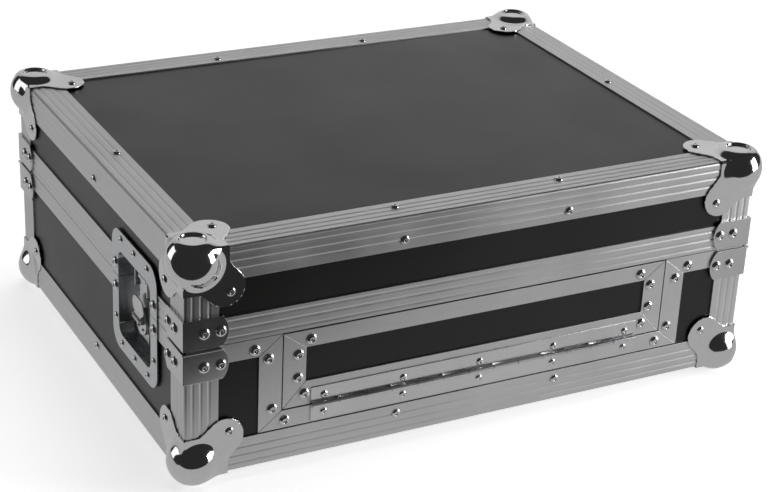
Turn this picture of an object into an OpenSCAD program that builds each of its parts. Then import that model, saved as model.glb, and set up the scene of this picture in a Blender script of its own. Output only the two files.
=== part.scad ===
// Flight case for a DJ controller: a shallow plywood box in aluminium extrusions,
// with a lid hinged at the rear and a drop-down flap in the front of the base.
// X runs from left to right, Y from front to rear, Z up. The origin is on the ground
// under the middle of the case, which stands on its four lower ball corners.

/* [Case] */
// Width over the extrusions, without the ball corners
case_w = 552; // [500:1:700]
// Depth over the extrusions, without the ball corners
case_d = 427; // [400:1:500]
// Height over the extrusions, without the ball corners
case_h = 208; // [205:1:240]
// Height of the base's upper edge over the underside of the case
seam_z = 120.5; // [118:0.5:123]
// Gap between the base and the closed lid
seam_gap = 0.5; // [0.4:0.1:0.8]
// Thickness of the plywood panels
ply_t = 9; // [8:0.5:9]

/* [Extrusions] */
// Leg of the angle extrusions on the edges
edge_leg = 30; // [28:1:30]
// Wall thickness of the extrusions and strips
skin_t = 1.6; // [1.4:0.1:2]
// Distance between the grooves of a ribbed face
groove_pitch = 7.2; // [6.8:0.1:7.4]
// Width of a groove
groove_w = 3.4; // [2.8:0.1:3.6]
// Depth of a groove
groove_depth = 0.3; // [0.2:0.1:0.5]
// Height of the lid's rim on the outside
lid_rim_h = 24; // [22:0.5:25]
// Height of the base's rim on the outside
base_rim_h = 17; // [16:0.5:18]

/* [Corners] */
// Radius of the lower ball corners
ball_r = 22; // [21:0.5:23]
// Radius of the upper ball corners
stack_ball_r = 23.5; // [23:0.25:24]
// Distance from the case's faces in to a ball's centre
ball_inset = 12; // [11:0.5:13]
// Height of the upper balls' flat top over the case's top face
ball_top = 6.5; // [6:0.5:7]
// Thickness of the ball corners' sheet steel
sheet_t = 1.3; // [1:0.1:1.5]
// Length of a corner brace's leg
brace_leg = 38; // [36:1:42]
// Height of a corner brace
brace_h = 27; // [25:1:28]

/* [Flap] */
// Width of the opening in the front
opening_w = 378.6; // [340:0.2:390]
// Height of the opening's sill over the underside of the case
sill_z = 48.2; // [47:0.2:50]
// Gap between the flap and the frame round it
flap_gap = 0.9; // [0.8:0.1:1.2]
// Width of the strips beside the opening
strip_w = 21; // [19:0.5:22]
// Number of knuckles of the piano hinge
knuckles = 13; // [11:2:13]
// Length of one knuckle
knuckle_l = 25; // [24:0.5:26]

/* [Latches] */
// Distance from the case's front face to a latch's centre
latch_y = 111.5; // [105:0.5:150]
// Width of the latch dish
dish_w = 107; // [104:1:110]
// Depth of the latch dish's pan
pan_depth = 12; // [12:0.5:13]
// Travel of the hook between latched and free
hook_travel = 8; // [6:1:8]

/* [Rear] */
// Distance from the middle of the case to a lid hinge's centre
lid_hinge_x = 170; // [120:1:190]
// Length of a lid hinge
lid_hinge_l = 60; // [50:1:70]
// Width of the carrying handle's dish
handle_w = 150; // [140:1:160]

/* [Foam] */
// Thickness of the wall and floor foam
foam_t = 10; // [6:1:12]
// Thickness of the foam in the lid
lid_foam_t = 15; // [8:1:20]

/* [Hidden] */

$fn = 48;

// Colours
LAMINATE = "#3b3938";
ALUMINIUM = "#b4b5b8";
STEEL = "#a3a4a6";
DARK_STEEL = "#7d7e82";
FOAM = "#26262a";
RUBBER = "#1d1d1f";

// Overlap that keeps a cut's faces off the faces of the solid that it cuts
CUT = 1;
// Height of the case's underside over the ground
case_lift = ball_r - ball_inset;
// Inner faces of the panels, measured from the case's outer faces
inside = skin_t + ply_t;
// Lower edge of the lid
lid_z = seam_z + seam_gap;
// Flat bottom of a groove
groove_floor_w = 0.8;
// Extrusions of different directions end this far apart
joint_gap = 0.2;
// Front and rear extrusions end this far inside the case's sides
end_gap = 2;
// Rounding of an extrusion's outer edge
edge_round = 2.5;
// Distance of a rivet in the third groove from the case's edge
edge_rivet = 3 * groove_pitch - 0.2;
// Distance of the front and rear rivets from the middle of the case
rivet_x = 80;

// Webs that close the rims over the panels' edges
base_web_z = seam_z - 8;
lid_web_z = lid_z + 6;
// Tongue of the lid's rim, in the middle of the panel's thickness
tongue_t = 3;
tongue_depth = 5;
// Side rims end short of the front and rear rims
side_rim_y = inside + skin_t + joint_gap;
// Inner walls of the front and rear rims start here
rim_inner_x = inside + joint_gap;
// Heights of the rims' inner walls
base_inner_h = 14;
lid_inner_h = 18;

// Outline of a ball corner's plates: square part, round leaf and the fillet between them
plate_side = 38.5;
lobe_c = 35;
lobe_r = 17.5;
plate_rivet = 39.5;
fillet_r = 10;
fillet_x = lobe_c - sqrt(pow(lobe_r + fillet_r, 2) - pow(fillet_r + plate_side - lobe_c, 2));
fillet_z = plate_side + fillet_r;
fillet_end = atan2(lobe_c - fillet_z, lobe_c - fillet_x);
fold_notch_l = 4;
fold_notch_w = 1.2;
// Shell of a ball, and the recess in the top of an upper one
ball_wall = 1.4;
recess_r = 11;
recess_depth = 2.6;

// Corner brace: thickness, round end, lip and the places of its rivets
brace_t = 2;
brace_end_r = 20;
brace_lip = 1;
brace_rivets = [16.5, 31];
brace_lip_h = 1.9;
base_brace_z = seam_z - 0.6 - brace_lip_h - brace_h;
lid_brace_z = lid_z + 0.6;

// Rivet heads: radius and height
rivet_r = 5;
rivet_h = 2.4;
edge_rivet_r = 4;
edge_rivet_h = 1.9;
small_rivet_r = 3.4;
small_rivet_h = 1.6;
rivet_eye_r = 1.1;
rivet_eye_depth = 1;

// Opening in the front of the base, and the strips round it
opening_x0 = (case_w - opening_w) / 2;
upright_x0 = opening_x0 - strip_w;
strip_z0 = edge_leg + 1.2;
base_rim_z = seam_z - base_rim_h;
flap_x0 = opening_x0 + flap_gap;
flap_z0 = sill_z + flap_gap;
flap_z1 = seam_z - flap_gap;
flap_low_strip_h = 23;

// Piano hinge: the pin's axis, and the sizes of the knuckles and leaves
flap_axis_y = -2.9;
flap_axis_z = sill_z + flap_gap / 2;
knuckle_r = 2.5;
flap_pin_r = 1.25;
flap_bore_r = 1.3;
leaf_t = 1;
leaf_clear = 3.2;
leaf_h = 16;
piano_l = knuckles * knuckle_l;
piano_x0 = (case_w - piano_l) / 2;
knuckle_gap = 0.4;
hinge_rivets = 5;
hinge_rivet_pitch = 75.25;

// Lid hinges at the rear
lid_axis_y = case_d + 4.2;
lid_axis_z = seam_z + seam_gap / 2;
lid_knuckle_r = 3.8;
lid_pin_r = 2;
lid_bore_r = 2.05;
lid_leaf_t = 1.5;
lid_leaf_clear = 4.6;

// Latch dish: outline, pan and the places of its rivets
dish_z0 = 52;
dish_z1 = 166;
dish_t = 1.2;
dish_round = 17;
pan_w = 77;
pan_z0 = 67;
pan_z1 = 147;
pan_round = 9;
pan_gap = 1;
plate_t = 1.5;
big_rivet_y = 45.5;
big_rivet_z = 11;
row_pitch = 31;

// Latch works, as depths inward from the case's side face
rotor_z = 94;
rotor_r = 12;
rotor_x0 = 4.6;
rotor_x1 = 7.2;
axle_r = 3;
axle_bore_r = 3.06;
hook_x0 = 7.5;
hook_x1 = 9.5;
hook_w = 18;
hook_top = 136;
hook_low = 78;
wing_axis_x = 2.6;
wing_axis_z = rotor_z + 4;
wing_t = 1.4;
wing_w = 26;
wing_top = rotor_z + 23;
wing_pin_r = 1.1;
wing_bore_r = 1.16;
keeper_w = 30;

// Carrying handle at the rear
handle_z0 = 33;
handle_z1 = 101;
handle_pan_w = 118;
handle_pan_z0 = 44;
handle_pan_z1 = 90;
handle_pan_depth = 12.4;
handle_axis_z = 84.5;
handle_axis_y = case_d - skin_t - 5;
handle_rod_r = 2.5;
handle_bore_r = 2.56;
handle_arm_x = 50;
grip_r = 4.5;
grip_z = 53;

// Free space round the foam
foam_gap = 0.4;
foam_0 = inside + foam_gap;

// ---- placing ----

// Case coordinates: the origin is the case's lower front left corner
module in_case() {
    translate([-case_w / 2, -case_d / 2, case_lift]) children();
}

module on_right() {
    translate([case_w, 0, 0]) mirror([1, 0, 0]) children();
}

module on_rear() {
    translate([0, case_d, 0]) mirror([0, 1, 0]) children();
}

module upside_down() {
    translate([0, 0, case_h]) mirror([0, 0, 1]) children();
}

module left_and_right() {
    children();
    on_right() children();
}

module front_and_rear() {
    children();
    on_rear() children();
}

// A profile whose X and Y become the case's Y and Z, drawn out along X
module run_x(x0, x1) {
    translate([x0, 0, 0]) rotate([90, 0, 90]) linear_extrude(x1 - x0) children();
}

// A profile whose X and Y become the case's X and Z, drawn out along Y
module run_y(y0, y1) {
    translate([0, y1, 0]) rotate([90, 0, 0]) linear_extrude(y1 - y0) children();
}

module block(low, high) {
    translate(low) cube(high - low);
}

// ---- profiles ----

function reversed(points) = [for (i = [len(points) - 1:-1:0]) points[i]];
function swapped(points) = [for (p = points) [p[1], p[0]]];

// One groove centred at distance c from the edge
function groove(c) = [
    [c + groove_w / 2, 0],
    [c + groove_floor_w / 2, groove_depth],
    [c - groove_floor_w / 2, groove_depth],
    [c - groove_w / 2, 0]
];

// A ribbed face, from its far end to the rounded edge
function ribbed_face(length) = concat(
    [[length, 0]],
    groove(3 * groove_pitch),
    groove(2 * groove_pitch),
    groove(groove_pitch)
);

function edge_arc() = [
    for (a = [270:-15:180]) [edge_round + edge_round * cos(a), edge_round + edge_round * sin(a)]
];

// Angle extrusion with its outer edge at the origin
module angle_profile() {
    polygon(concat(
        ribbed_face(edge_leg),
        edge_arc(),
        reversed(swapped(ribbed_face(edge_leg))),
        [[skin_t, edge_leg], [skin_t, skin_t], [edge_leg, skin_t]]
    ));
}

// Base rim in section, its outer wall and web: X is the depth from the outer face, Y the height
module base_rim_outer() {
    translate([0, base_rim_z]) square([skin_t, base_rim_h]);
    translate([0, base_web_z]) square([inside + skin_t, skin_t]);
}

module base_rim_inner() {
    translate([inside, seam_z - base_inner_h]) square([skin_t, base_inner_h]);
}

// Outer wall of the lid's rim with its three grooves
module lid_rim_wall() {
    difference() {
        translate([0, lid_z]) square([skin_t, lid_rim_h]);
        for (i = [0:2]) {
            translate([0, lid_z + 4.6 + i * (groove_pitch + 0.3)])
                polygon(swapped(concat([[groove_w / 2, -CUT]], groove(0), [[-groove_w / 2, -CUT]])));
        }
    }
}

// Lid rim in section, its outer wall and web
module lid_rim_outer() {
    lid_rim_wall();
    translate([0, lid_web_z]) square([inside + skin_t, skin_t]);
}

module lid_rim_inner() {
    translate([inside, lid_z]) square([skin_t, lid_inner_h]);
}

module lid_rim_tongue() {
    translate([skin_t + (ply_t - tongue_t) / 2, lid_z - tongue_depth])
        square([tongue_t, lid_web_z - lid_z + tongue_depth]);
}

// Rectangle with round corners, centred in X, from z0 to z1 in Y
module round_rect(w, z0, z1, r) {
    translate([-w / 2 + r, z0]) square([w - 2 * r, z1 - z0]);
    translate([-w / 2, z0 + r]) square([w, z1 - z0 - 2 * r]);
    for (x = [-w / 2 + r, w / 2 - r]) {
        for (z = [z0 + r, z1 - r]) translate([x, z]) circle(r);
    }
}

// ---- panels ----

module side_panel(z0, z1) {
    block([skin_t, inside, z0], [inside, case_d - inside, z1]);
}

// Room that the latch pan takes in a side wall
module latch_room() {
    block(
        [-CUT, latch_y - pan_w / 2 - dish_t - pan_gap, pan_z0 - dish_t - pan_gap],
        [inside + foam_t + CUT, latch_y + pan_w / 2 + dish_t + pan_gap, pan_z1 + dish_t + pan_gap]
    );
}

module base_floor_panel() {
    color(LAMINATE) block([skin_t, skin_t, skin_t], [case_w - skin_t, case_d - skin_t, inside]);
}

module base_left_panel() {
    color(LAMINATE) difference() {
        side_panel(inside, base_web_z);
        latch_room();
    }
}

module base_right_panel() {
    on_right() base_left_panel();
}

// Room that the handle's pan takes in the rear wall
module handle_room() {
    half_w = handle_pan_w / 2 + dish_t + pan_gap;
    block(
        [case_w / 2 - half_w, case_d - inside - foam_t - CUT, handle_pan_z0 - dish_t - pan_gap],
        [case_w / 2 + half_w, case_d + CUT, handle_pan_z1 + dish_t + pan_gap]
    );
}

module base_rear_panel() {
    color(LAMINATE) difference() {
        block([skin_t, case_d - inside, inside], [case_w - skin_t, case_d - skin_t, base_web_z]);
        handle_room();
    }
}

// Short front walls on both sides of the opening
module base_front_panels() {
    color(LAMINATE) left_and_right()
        block([skin_t, skin_t, inside], [opening_x0, inside, base_web_z]);
}

module base_sill_panel() {
    color(LAMINATE)
        block([opening_x0, skin_t, inside], [case_w - opening_x0, inside, sill_z - 0.6]);
}

module lid_top_panel() {
    color(LAMINATE) block(
        [skin_t, skin_t, case_h - inside],
        [case_w - skin_t, case_d - skin_t, case_h - skin_t]
    );
}

module lid_front_panel() {
    color(LAMINATE)
        block([skin_t, skin_t, lid_web_z + skin_t], [case_w - skin_t, inside, case_h - inside]);
}

module lid_rear_panel() {
    on_rear() lid_front_panel();
}

module lid_side_panels() {
    color(LAMINATE) left_and_right() difference() {
        side_panel(lid_web_z + skin_t, case_h - inside);
        latch_room();
    }
}

// ---- edge extrusions, posts and rims ----

module front_extrusion() {
    color(ALUMINIUM) run_x(end_gap, case_w - end_gap) angle_profile();
}

module left_extrusion() {
    color(ALUMINIUM) run_y(edge_leg + joint_gap, case_d - edge_leg - joint_gap) angle_profile();
}

module corner_posts(z0, z1) {
    color(ALUMINIUM) left_and_right() front_and_rear()
        translate([0, 0, z0]) linear_extrude(z1 - z0) angle_profile();
}

module base_corner_posts() {
    corner_posts(edge_leg + joint_gap, base_rim_z - joint_gap);
}

module lid_corner_posts() {
    corner_posts(lid_z + lid_rim_h + joint_gap, case_h - edge_leg - joint_gap);
}

module base_side_rims() {
    color(ALUMINIUM) left_and_right() difference() {
        run_y(side_rim_y, case_d - side_rim_y) {
            base_rim_outer();
            base_rim_inner();
        }
        latch_room();
    }
}

// The front and rear rims' inner walls stop at the side panels
module base_rear_rim() {
    color(ALUMINIUM) on_rear() {
        run_x(end_gap, case_w - end_gap) base_rim_outer();
        run_x(rim_inner_x, case_w - rim_inner_x) base_rim_inner();
    }
}

// Front rims stop at the opening, mitred against the uprights
module base_front_rims() {
    color(ALUMINIUM) left_and_right() difference() {
        union() {
            run_x(end_gap, opening_x0) base_rim_outer();
            run_x(rim_inner_x, opening_x0) base_rim_inner();
        }
        translate([0, skin_t + CUT, 0]) rotate([90, 0, 0]) linear_extrude(skin_t + 2 * CUT)
            polygon([
                [upright_x0, base_rim_z],
                [opening_x0, seam_z],
                [opening_x0 + CUT, seam_z],
                [opening_x0 + CUT, base_rim_z - CUT],
                [upright_x0, base_rim_z - CUT]
            ]);
    }
}

// Flat frame strips are drawn as outlines in X and Z
module front_strip() {
    translate([0, skin_t, 0]) rotate([90, 0, 0]) linear_extrude(skin_t) children();
}

module opening_uprights() {
    color(ALUMINIUM) left_and_right() front_strip() polygon([
        [upright_x0, strip_z0],
        [opening_x0, sill_z],
        [opening_x0, seam_z - 0.3],
        [upright_x0, base_rim_z - 0.3]
    ]);
}

module opening_sill_strip() {
    color(ALUMINIUM) front_strip() polygon([
        [upright_x0 + 0.3, strip_z0],
        [case_w - upright_x0 - 0.3, strip_z0],
        [case_w - opening_x0, sill_z - 0.3],
        [opening_x0, sill_z - 0.3]
    ]);
}

// The front rim has its tongue only beside the flap
module lid_front_rim() {
    color(ALUMINIUM) {
        run_x(end_gap, case_w - end_gap) lid_rim_outer();
        run_x(rim_inner_x, case_w - rim_inner_x) lid_rim_inner();
        left_and_right() run_x(end_gap, opening_x0 - 2) lid_rim_tongue();
    }
}

module lid_rear_rim() {
    color(ALUMINIUM) on_rear() {
        run_x(end_gap, case_w - end_gap) {
            lid_rim_outer();
            lid_rim_tongue();
        }
        run_x(rim_inner_x, case_w - rim_inner_x) lid_rim_inner();
    }
}

module lid_side_rims() {
    color(ALUMINIUM) left_and_right() difference() {
        run_y(side_rim_y, case_d - side_rim_y) {
            lid_rim_outer();
            lid_rim_inner();
            lid_rim_tongue();
        }
        latch_room();
    }
}

// ---- rivets ----

module rivet(r = rivet_r, h = rivet_h) {
    dome_r = (h * h + r * r) / (2 * h);
    difference() {
        intersection() {
            translate([0, 0, h - dome_r]) sphere(dome_r);
            cylinder(r = r + CUT, h = h + CUT);
        }
        translate([0, 0, h - rivet_eye_depth]) cylinder(r = rivet_eye_r * r / rivet_r, h = CUT);
    }
}

module small_rivet() {
    rivet(small_rivet_r, small_rivet_h);
}

module edge_rivet_head() {
    rivet(edge_rivet_r, edge_rivet_h);
}

// Places on the front face and on the left face, pointing outward
module on_front(x, z, out = 0) {
    translate([x, -out, z]) rotate([90, 0, 0]) children();
}

module on_left(y, z, out = 0) {
    translate([-out, y, z]) rotate([0, -90, 0]) children();
}

// Rivets of one ball corner, in the lobes of its three plates
module ball_corner_rivets() {
    on_front(plate_rivet, plate_rivet, sheet_t) edge_rivet_head();
    on_left(plate_rivet, plate_rivet, sheet_t) edge_rivet_head();
    translate([plate_rivet, plate_rivet, -sheet_t]) mirror([0, 0, 1]) edge_rivet_head();
}

// Rivets of one corner brace that stands with its lower edge at z
module brace_rivet_set(z) {
    for (d = brace_rivets) {
        on_front(d, z + brace_h / 2, brace_t) rivet();
        on_left(d, z + brace_h / 2, brace_t) rivet();
    }
}

// Rivets along the horizontal edge extrusions, in their third groove
module edge_rivets() {
    front_and_rear() {
        for (x = [case_w / 2 - rivet_x, case_w / 2 + rivet_x]) {
            on_front(x, edge_rivet) edge_rivet_head();
            translate([x, edge_rivet, 0]) mirror([0, 0, 1]) edge_rivet_head();
        }
    }
    left_and_right() {
        on_left(case_d / 2, edge_rivet) edge_rivet_head();
        translate([edge_rivet, case_d / 2, 0]) mirror([0, 0, 1]) edge_rivet_head();
    }
}

// Rivets in the mitres of the fixed frame, from the middle of the case
FRAME_RIVETS = [[214, 110], [201.5, 99.5], [197.7, 51.5], [186, 38]];

// Rivets in the mitres and uprights of the flap's frame
FLAP_RIVETS = [[174.5, 98], [174.5, 76], [163, 110.5], [168.5, 60]];

module hinge_rivets(z) {
    for (i = [0:hinge_rivets - 1]) {
        on_front(case_w / 2 + (i - (hinge_rivets - 1) / 2) * hinge_rivet_pitch, z, leaf_t)
            small_rivet();
    }
}

// Rivets of the latch dish's flange on the left side
module latch_base_rivets() {
    for (side = [-1, 1]) {
        on_left(latch_y + side * big_rivet_y, seam_z - big_rivet_z, dish_t) rivet();
        on_left(latch_y + side * big_rivet_y, dish_z0 + 28, dish_t) small_rivet();
    }
    for (i = [-1:1]) on_left(latch_y + i * row_pitch, dish_z0 + 7, dish_t) small_rivet();
}

module latch_lid_rivets() {
    for (side = [-1, 1])
        on_left(latch_y + side * big_rivet_y, lid_z + big_rivet_z, dish_t) rivet();
    for (i = [-1:1]) on_left(latch_y + i * row_pitch, dish_z1 - 7, dish_t) small_rivet();
}

// Rivets of a lid hinge's leaf, at height z on the rear
module lid_hinge_rivets(z) {
    on_rear() left_and_right() for (side = [-1, 1])
        on_front(case_w / 2 + lid_hinge_x + side * lid_hinge_l / 4, z, lid_leaf_t) small_rivet();
}

module handle_rivets() {
    on_rear() for (x = [-1, 1], z = [handle_z0 + 8, handle_z1 - 8])
        on_front(case_w / 2 + x * (handle_w / 2 - 8), z, dish_t - skin_t) small_rivet();
}

module base_rivets() {
    color(STEEL) {
        left_and_right() front_and_rear() {
            ball_corner_rivets();
            brace_rivet_set(base_brace_z);
        }
        edge_rivets();
        left_and_right() for (p = FRAME_RIVETS) on_front(case_w / 2 + p[0], p[1]) rivet();
        left_and_right() latch_base_rivets();
        hinge_rivets(flap_axis_z - leaf_h + 7);
        lid_hinge_rivets(base_rim_z + base_rim_h / 2 - 1);
        handle_rivets();
    }
}

module lid_rivets() {
    color(STEEL) {
        upside_down() {
            left_and_right() front_and_rear() ball_corner_rivets();
            edge_rivets();
        }
        left_and_right() front_and_rear() brace_rivet_set(lid_brace_z);
        left_and_right() latch_lid_rivets();
        lid_hinge_rivets(lid_z + lid_rim_h / 2 + 2);
    }
}

module flap_rivets() {
    color(STEEL) {
        left_and_right() for (p = FLAP_RIVETS) on_front(case_w / 2 + p[0], p[1]) rivet();
        hinge_rivets(flap_axis_z + leaf_h - 8.5);
    }
}

// ---- ball corners and braces ----

// One side of a plate's outline, from the fold out to the lobe's tip
function plate_half() = concat(
    [[-sheet_t, plate_side]],
    [for (i = [0:5]) let (a = -90 + i * (fillet_end + 90) / 5)
        [fillet_x + fillet_r * cos(a), fillet_z + fillet_r * sin(a)]],
    [for (i = [1:6]) let (a = fillet_end + 180 - i * (fillet_end + 135) / 7)
        [lobe_c + lobe_r * cos(a), lobe_c + lobe_r * sin(a)]]
);

module corner_plate() {
    linear_extrude(sheet_t) polygon(concat(
        [[-sheet_t, -sheet_t]],
        plate_half(),
        reversed(swapped(plate_half()))
    ));
}

// Ball about its own centre. The flat, recessed end of a stacking ball points down.
module ball(stacking) {
    flat_z = -ball_inset - ball_top;
    r = stacking ? stack_ball_r : ball_r;
    difference() {
        sphere(r, $fn = 72);
        if (stacking) {
            translate([-r, -r, flat_z - 2 * r]) cube(2 * r);
            translate([0, 0, flat_z - CUT]) cylinder(r = recess_r, h = recess_depth + CUT);
        }
    }
}

module ball_cavity(stacking) {
    floor_z = -ball_inset - ball_top + recess_depth + ball_wall;
    r = stacking ? stack_ball_r : ball_r;
    difference() {
        sphere(r - ball_wall, $fn = 72);
        if (stacking) translate([-r, -r, floor_z - 2 * r]) cube(2 * r);
    }
}

// Notches at the outer ends of the three folds
module fold_notches() {
    low = -sheet_t - CUT;
    block([plate_side - fold_notch_l, low, low], [plate_side + CUT, fold_notch_w, fold_notch_w]);
    block([low, plate_side - fold_notch_l, low], [fold_notch_w, plate_side + CUT, fold_notch_w]);
    block([low, low, plate_side - fold_notch_l], [fold_notch_w, fold_notch_w, plate_side + CUT]);
}

// Ball corner for the case's lower front left corner: a pressed ball on three plates
module ball_corner(stacking = false) {
    difference() {
        union() {
            translate([ball_inset, ball_inset, ball_inset]) ball(stacking);
            translate([0, 0, -sheet_t]) corner_plate();
            rotate([90, 0, 0]) corner_plate();
            translate([-sheet_t, 0, 0]) rotate([90, 0, 90]) corner_plate();
        }
        translate([ball_inset, ball_inset, ball_inset]) ball_cavity(stacking);
        cube(2 * plate_side);
        fold_notches();
    }
}

module base_front_ball_corners() {
    color(STEEL) left_and_right() ball_corner();
}

module base_rear_ball_corners() {
    on_rear() base_front_ball_corners();
}

module lid_front_ball_corners() {
    color(STEEL) upside_down() left_and_right() ball_corner(stacking = true);
}

module lid_rear_ball_corners() {
    on_rear() lid_front_ball_corners();
}

// Leg of a brace as an outline with a round end
module brace_leg_outline() {
    translate([-brace_t, 0]) square([brace_t + brace_leg - brace_end_r, brace_h]);
    intersection() {
        square([brace_leg, brace_h]);
        translate([brace_leg - brace_end_r, brace_h / 2]) circle(brace_end_r);
    }
}

// Angle-shaped brace on the outside of the front left corner
module brace() {
    rotate([90, 0, 0]) linear_extrude(brace_t) brace_leg_outline();
    translate([-brace_t, 0, 0]) rotate([90, 0, 90]) linear_extrude(brace_t) brace_leg_outline();
}

module braces_at(z) {
    left_and_right() front_and_rear() translate([0, 0, z]) brace();
}

// The base's braces have a lip along their upper edge
module base_corner_braces() {
    lip_l = brace_leg - 6;
    color(DARK_STEEL) left_and_right() front_and_rear() translate([0, 0, base_brace_z]) {
        brace();
        translate([0, 0, brace_h]) difference() {
            block([-brace_t - brace_lip, -brace_t - brace_lip, 0], [lip_l, lip_l, brace_lip_h]);
            block([0, 0, -CUT], [lip_l + CUT, lip_l + CUT, brace_lip_h + CUT]);
        }
    }
}

module lid_corner_braces() {
    color(DARK_STEEL) braces_at(lid_brace_z);
}

// ---- front flap ----

module flap_panel() {
    color(LAMINATE) block(
        [flap_x0, skin_t, flap_z0 + 0.3],
        [case_w - flap_x0, inside, flap_z1 - 1]
    );
}

// Four flat strips with mitred corners
module flap_strips() {
    inner_x = flap_x0 + strip_w;
    low_z = flap_z0 + flap_low_strip_h;
    high_z = base_rim_z;
    mitre = 0.3;
    color(ALUMINIUM) front_strip() {
        polygon([
            [flap_x0, flap_z0], [inner_x, low_z],
            [inner_x, high_z], [flap_x0, flap_z1]
        ]);
        polygon([
            [case_w - flap_x0, flap_z0], [case_w - inner_x, low_z],
            [case_w - inner_x, high_z], [case_w - flap_x0, flap_z1]
        ]);
        polygon([
            [flap_x0 + mitre, flap_z1], [case_w - flap_x0 - mitre, flap_z1],
            [case_w - inner_x, high_z + mitre], [inner_x, high_z + mitre]
        ]);
        polygon([
            [flap_x0 + mitre, flap_z0], [case_w - flap_x0 - mitre, flap_z0],
            [case_w - inner_x, low_z - mitre], [inner_x, low_z - mitre]
        ]);
    }
}

// One leaf of the piano hinge. It reaches up (side 1) or down (side -1) from the pin
// and has every second knuckle, starting with the given one.
module piano_leaf(side, first) {
    translate([0, 0, flap_axis_z]) mirror([0, 0, side > 0 ? 0 : 1]) difference() {
        union() {
            block([piano_x0, -leaf_t, leaf_clear], [piano_x0 + piano_l, 0, leaf_h]);
            for (i = [first:2:knuckles - 1]) {
                x0 = piano_x0 + i * knuckle_l + knuckle_gap / 2;
                x1 = x0 + knuckle_l - knuckle_gap;
                block([x0, -leaf_t, 0], [x1, 0, leaf_clear]);
                translate([x0, flap_axis_y, 0]) rotate([0, 90, 0]) cylinder(r = knuckle_r, h = x1 - x0);
            }
        }
        translate([piano_x0 - CUT, flap_axis_y, 0]) rotate([0, 90, 0])
            cylinder(r = flap_bore_r, h = piano_l + 2 * CUT);
    }
}

module flap_hinge_fixed_leaf() {
    color(ALUMINIUM) piano_leaf(-1, 0);
}

module flap_hinge_moving_leaf() {
    color(ALUMINIUM) piano_leaf(1, 1);
}

module flap_hinge_pin() {
    color(STEEL) translate([piano_x0, flap_axis_y, flap_axis_z]) rotate([0, 90, 0])
        cylinder(r = flap_pin_r, h = piano_l);
}

// ---- latches in the sides ----

// An outline in Y, from the latch's centre, and Z, drawn out from depth x0 to x1
module latch_slab(x0, x1) {
    translate([x0, latch_y, 0]) rotate([90, 0, 90]) linear_extrude(x1 - x0) children();
}

module latch_box(low, high) {
    translate([0, latch_y, 0]) block(low, high);
}

module latch_dish() {
    difference() {
        union() {
            latch_slab(-dish_t, 0) round_rect(dish_w, dish_z0, dish_z1, dish_round);
            latch_slab(-dish_t, pan_depth + dish_t)
                round_rect(pan_w + 2 * dish_t, pan_z0 - dish_t, pan_z1 + dish_t, pan_round + dish_t);
        }
        latch_slab(-dish_t - CUT, pan_depth) round_rect(pan_w, pan_z0, pan_z1, pan_round);
    }
}

// Base half of the dish, with the plate and the two rails that carry the latch's works
module left_latch_base_dish() {
    rail_y = hook_w / 2 + 0.4;
    color(STEEL) {
        intersection() {
            latch_dish();
            latch_box([-dish_w, -dish_w, dish_z0 - CUT], [dish_w, dish_w, seam_z]);
        }
        difference() {
            union() {
                latch_box([pan_depth - plate_t, -22, 72], [pan_depth, 22, 114]);
                for (side = [0, 1]) translate([0, latch_y, 0]) mirror([0, side, 0])
                    block([hook_x0, rail_y, 76], [pan_depth - plate_t, rail_y + 2.4, 114]);
            }
            translate([0, latch_y, rotor_z]) rotate([0, 90, 0])
                cylinder(r = axle_bore_r, h = pan_depth);
        }
    }
}

// Lid half of the dish, with the strike and its two lips
module left_latch_lid_dish() {
    color(STEEL) {
        intersection() {
            latch_dish();
            latch_box([-dish_w, -dish_w, lid_z], [dish_w, dish_w, dish_z1 + CUT]);
        }
        latch_box([hook_x1 + 0.4, -keeper_w / 2, 123], [pan_depth, keeper_w / 2, 138]);
        for (side = [0, 1]) translate([0, latch_y, 0]) mirror([0, side, 0])
            block([5, keeper_w / 2 - 1.8, 123], [hook_x1 + 0.4, keeper_w / 2, 138]);
    }
}

// Disc with its axle and the two ears that hold the wing
module left_latch_rotor() {
    ear_y = 8;
    ear_t = 2;
    ear_r = 2.2;
    color(DARK_STEEL) difference() {
        union() {
            translate([rotor_x0, latch_y, rotor_z]) rotate([0, 90, 0])
                cylinder(r = rotor_r, h = rotor_x1 - rotor_x0);
            translate([rotor_x1, latch_y, rotor_z]) rotate([0, 90, 0])
                cylinder(r = axle_r, h = pan_depth - rotor_x1 - 0.3);
            for (y = [-ear_y - ear_t, ear_y]) {
                translate([wing_axis_x, latch_y + y + ear_t, wing_axis_z]) rotate([90, 0, 0])
                    cylinder(r = ear_r, h = ear_t);
                latch_box(
                    [wing_axis_x, y, wing_axis_z - ear_r],
                    [rotor_x0, y + ear_t, wing_axis_z + ear_r]
                );
            }
        }
        translate([wing_axis_x, latch_y + ear_y + ear_t + CUT, wing_axis_z]) rotate([90, 0, 0])
            cylinder(r = wing_bore_r, h = 2 * (ear_y + ear_t + CUT));
    }
}

// Folding wing: a tab with round corners on a barrel with the pin
module left_latch_wing() {
    barrel_w = 15.2;
    barrel_r = 1.7;
    color(STEEL) {
        latch_slab(wing_axis_x - wing_t / 2, wing_axis_x + wing_t / 2) {
            round_rect(wing_w, wing_axis_z + 3.4, wing_top, 8);
            translate([-barrel_w / 2, wing_axis_z]) square([barrel_w, 6]);
        }
        translate([wing_axis_x, latch_y + barrel_w / 2, wing_axis_z]) rotate([90, 0, 0])
            cylinder(r = barrel_r, h = barrel_w);
        translate([wing_axis_x, latch_y + 10, wing_axis_z]) rotate([90, 0, 0])
            cylinder(r = wing_pin_r, h = 20);
    }
}

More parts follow.
